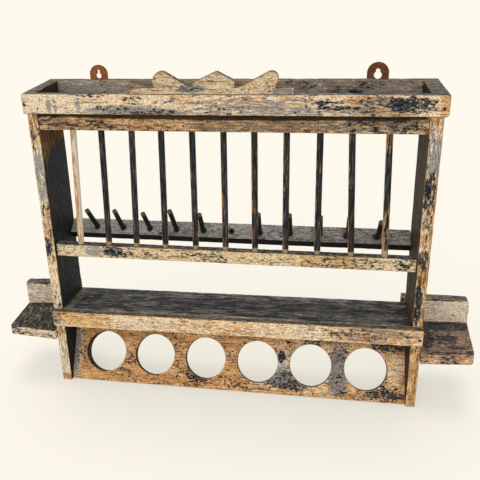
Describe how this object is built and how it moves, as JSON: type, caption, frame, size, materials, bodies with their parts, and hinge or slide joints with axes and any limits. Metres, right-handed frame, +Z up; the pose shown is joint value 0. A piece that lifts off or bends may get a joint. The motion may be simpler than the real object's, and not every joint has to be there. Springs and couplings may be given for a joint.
{
  "type": "wall plate rack",
  "caption": "Wooden wall plate rack with a tray and fretted crest on top, dowels and pegs, a sloping shelf, an apron with round holes and two bracket shelves.",
  "frame": {"origin": "middle of the object's box in x and y, at the height of the panels' feet", "axes": "+X to the right along the tray, +Y back towards the wall, +Z up"},
  "size_m": [1.029, 0.159, 0.724],
  "materials": {
    "worn_front_pine": "pine whose paint has worn off, in streaks along the grain",
    "dark_painted_pine": "old dark paint on pine, rubbed through at the edges",
    "panel_pine": "pine panels, worn pale in front and dark on their faces",
    "rail_pine": "pine rails with flaking dark paint",
    "pale_dowel": "bare beech dowel, worn pale",
    "painted_dowel": "beech dowel with blue-black paint",
    "dark_peg": "peg turned black with use, its end bare",
    "peg_rail_pine": "taupe brown pine",
    "shelf_pine": "pine shelf with blue-black paint",
    "apron_pine": "orange-tan pine with dark patches",
    "wing_pine": "dark stained pine bracket shelf",
    "back_plate_pine": "weathered grey pine",
    "rusty_hanger_left": "rusty steel plate",
    "rusty_hanger_right": "dark rusty steel plate",
    "old_nail": "darkened steel nail",
    "old_screw": "darkened steel screw"
  },
  "bodies": {
    "root": {"tray_front_board": "worn_front_pine", "crest_board": "worn_front_pine", "crest_pins": "pale_dowel", "tray_back_board": "dark_painted_pine", "tray_left_end": "dark_painted_pine", "tray_right_end": "dark_painted_pine", "tray_floor": "dark_painted_pine", "left_side_panel": "panel_pine", "right_side_panel": "panel_pine", "top_front_rail": "rail_pine", "lower_front_rail": "rail_pine", "peg_rail": "peg_rail_pine", "shelf_board": "shelf_pine", "shelf_front_strip": "worn_front_pine", "apron_board": "apron_pine", "left_wing_shelf": "wing_pine", "right_wing_shelf": "wing_pine", "left_wing_back": "back_plate_pine", "right_wing_back": "back_plate_pine", "left_hanger_plate": "rusty_hanger_left", "right_hanger_plate": "rusty_hanger_right", "hanger_screws": "old_screw", "dowel_01": "pale_dowel", "peg_01": "dark_peg", "dowel_02": "painted_dowel", "peg_02": "dark_peg", "dowel_03": "painted_dowel", "peg_03": "dark_peg", "dowel_04": "painted_dowel", "peg_04": "dark_peg", "dowel_05": "painted_dowel", "peg_05": "dark_peg", "dowel_06": "painted_dowel", "dowel_07": "painted_dowel", "peg_07": "dark_peg", "dowel_08": "painted_dowel", "peg_08": "dark_peg", "dowel_09": "painted_dowel", "peg_09": "dark_peg", "dowel_10": "painted_dowel", "peg_10": "dark_peg", "dowel_11": "painted_dowel", "peg_11": "dark_peg", "tray_nails": "old_nail", "rail_nails": "old_nail", "peg_rail_nails": "old_nail", "strip_nails": "old_nail", "shelf_nails": "old_nail", "apron_nails": "old_nail", "wing_nails": "old_nail"}
  },
  "joints": []
}
